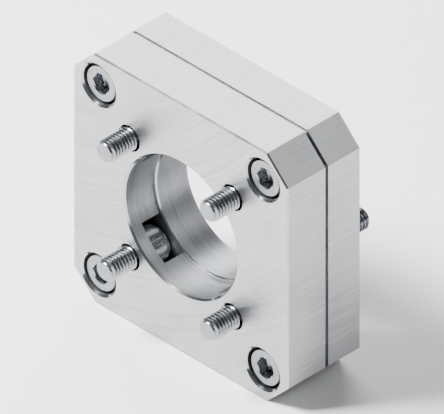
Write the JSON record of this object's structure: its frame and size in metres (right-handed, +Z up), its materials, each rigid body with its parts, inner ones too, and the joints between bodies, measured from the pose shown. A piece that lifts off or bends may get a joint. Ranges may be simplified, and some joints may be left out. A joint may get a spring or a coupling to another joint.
{
  "type": "motor mounting flange",
  "caption": "Square motor mounting flange of joined plates, with a round centring bore, sunk corner screws, and threaded studs towards the motor and the drive.",
  "frame": {"origin": "where the axis of the bore meets the face that the motor is fastened to", "axes": "-Y along the bore axis towards the motor, +Y towards the drive, +X across the plates, +Z up"},
  "size_m": [0.072, 0.0422, 0.072],
  "materials": {
    "plate_aluminium": "fine milled and clear anodised, satin",
    "screw_steel": "bright zinc plated"
  },
  "bodies": {
    "root": {"front_plate": "plate_aluminium", "rear_plate": "plate_aluminium", "corner_screw_1": "screw_steel", "corner_screw_2": "screw_steel", "corner_screw_3": "screw_steel", "corner_screw_4": "screw_steel", "motor_screw_1": "screw_steel", "motor_screw_2": "screw_steel", "motor_screw_3": "screw_steel", "motor_screw_4": "screw_steel", "drive_screw_1": "screw_steel", "drive_screw_2": "screw_steel"}
  },
  "joints": []
}
